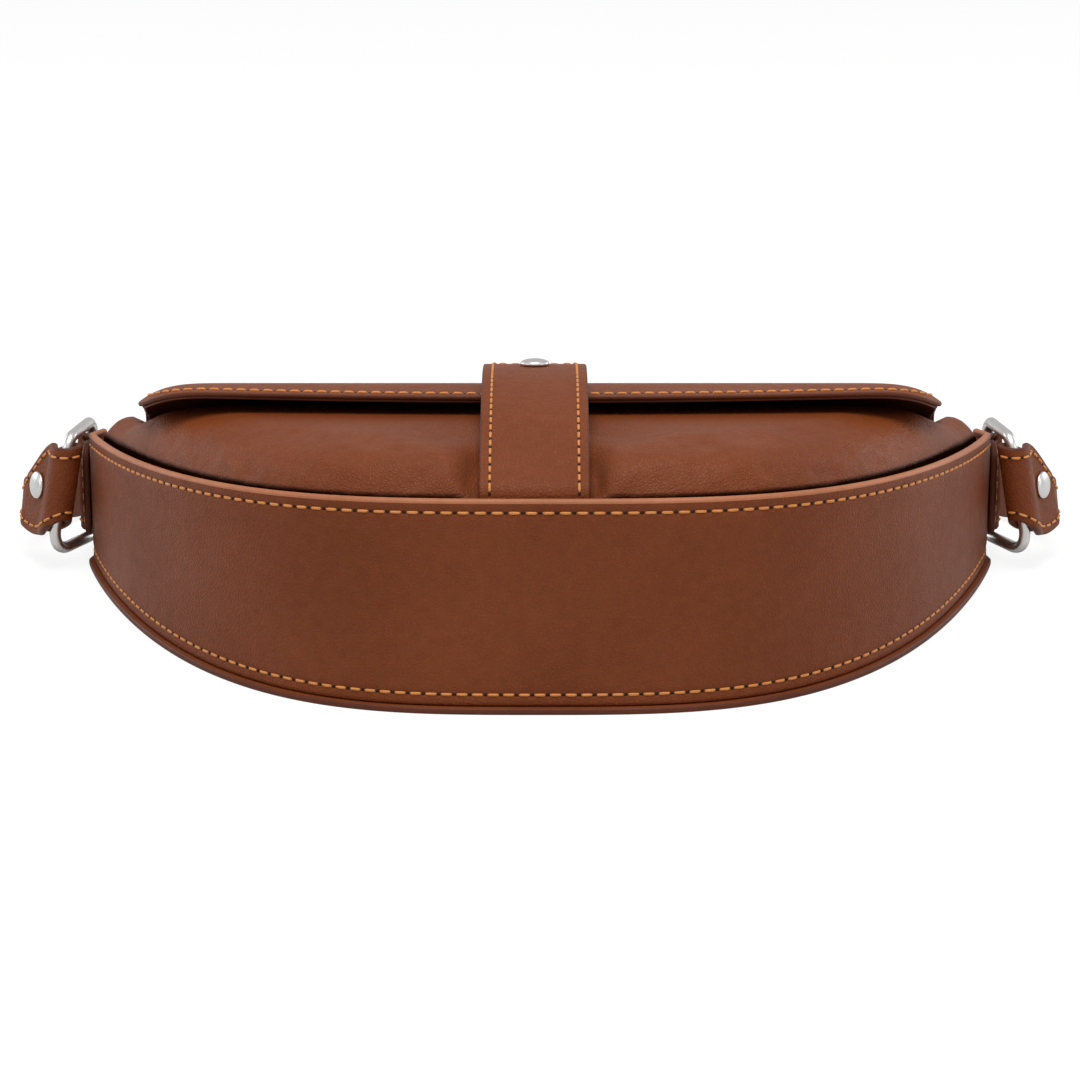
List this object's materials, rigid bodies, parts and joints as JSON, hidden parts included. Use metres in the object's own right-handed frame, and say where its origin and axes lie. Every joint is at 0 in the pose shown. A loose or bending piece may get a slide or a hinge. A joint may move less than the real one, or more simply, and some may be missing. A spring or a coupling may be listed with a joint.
{
  "type": "crescent shoulder bag",
  "caption": "Crescent leather shoulder bag lying on its flat back, with a padded front, a flap with a snap strap, and wire rings that carry the shoulder strap.",
  "frame": {"origin": "middle of the back panel's flat outer face", "axes": "+X along the bag's width, +Y from its curved bottom to its mouth and strap, +Z out through its padded front"},
  "size_m": [0.347, 0.2924, 0.086],
  "materials": {
    "tan_leather": "semi-matte, fine grain",
    "dark_leather": "matte",
    "lining_cloth": "woven, matte",
    "board": "plain fibre board",
    "foam": "open foam",
    "steel": "brushed"
  },
  "bodies": {
    "body": {"back_panel": "tan_leather", "back_stiffener": "board", "gusset": "tan_leather", "gusset_stiffener": "board", "front_panel": "tan_leather", "front_foam": "foam", "front_backing": "board", "lining": "lining_cloth", "slip_pocket": "lining_cloth", "closure_anchor": "tan_leather", "side_tab_left": "tan_leather", "side_tab_right": "tan_leather"},
    "flap": {"flap": "tan_leather", "flap_lining": "dark_leather", "snap_stud": "steel"},
    "closure_strap": {"closure_strap": "tan_leather", "closure_strap_lining": "dark_leather", "snap_cap": "steel"},
    "ring_left": {"ring_left": "steel"},
    "ring_right": {"ring_right": "steel"},
    "shoulder_strap": {"shoulder_strap": "tan_leather", "shoulder_strap_lining": "dark_leather", "strap_rivet_left": "steel", "strap_rivet_right": "steel"}
  },
  "joints": [
    {"name": "flap_open", "type": "hinge", "parent": "body", "child": "flap", "pos_m": [0, 0.0826, 0.0005], "axis": [-1, 0, 0], "range_deg": [0, 88]},
    {"name": "closure_lift", "type": "hinge", "parent": "body", "child": "closure_strap", "pos_m": [0, -0.074, 0.06616], "axis": [1, 0, 0], "range_deg": [0, 140.8]},
    {"name": "ring_left_swing", "type": "hinge", "parent": "body", "child": "ring_left", "pos_m": [-0.1488, 0.0826, 0.026], "axis": [0, 0, 1], "range_deg": [-7, 7]},
    {"name": "ring_right_swing", "type": "hinge", "parent": "body", "child": "ring_right", "pos_m": [0.1488, 0.0826, 0.026], "axis": [0, 0, 1], "range_deg": [-7, 7]},
    {"name": "strap_swing", "type": "hinge", "parent": "ring_left", "child": "shoulder_strap", "pos_m": [-0.157, 0.05898, 0.026], "axis": [0, 0, 1], "range_deg": [-6.63, 6.63]}
  ],
  "couplings": [
    {"joint": "closure_lift", "follows": "flap_open", "ratio": 1.6},
    {"joint": "ring_right_swing", "follows": "ring_left_swing", "ratio": 1},
    {"joint": "strap_swing", "follows": "ring_left_swing", "ratio": -0.9478}
  ]
}
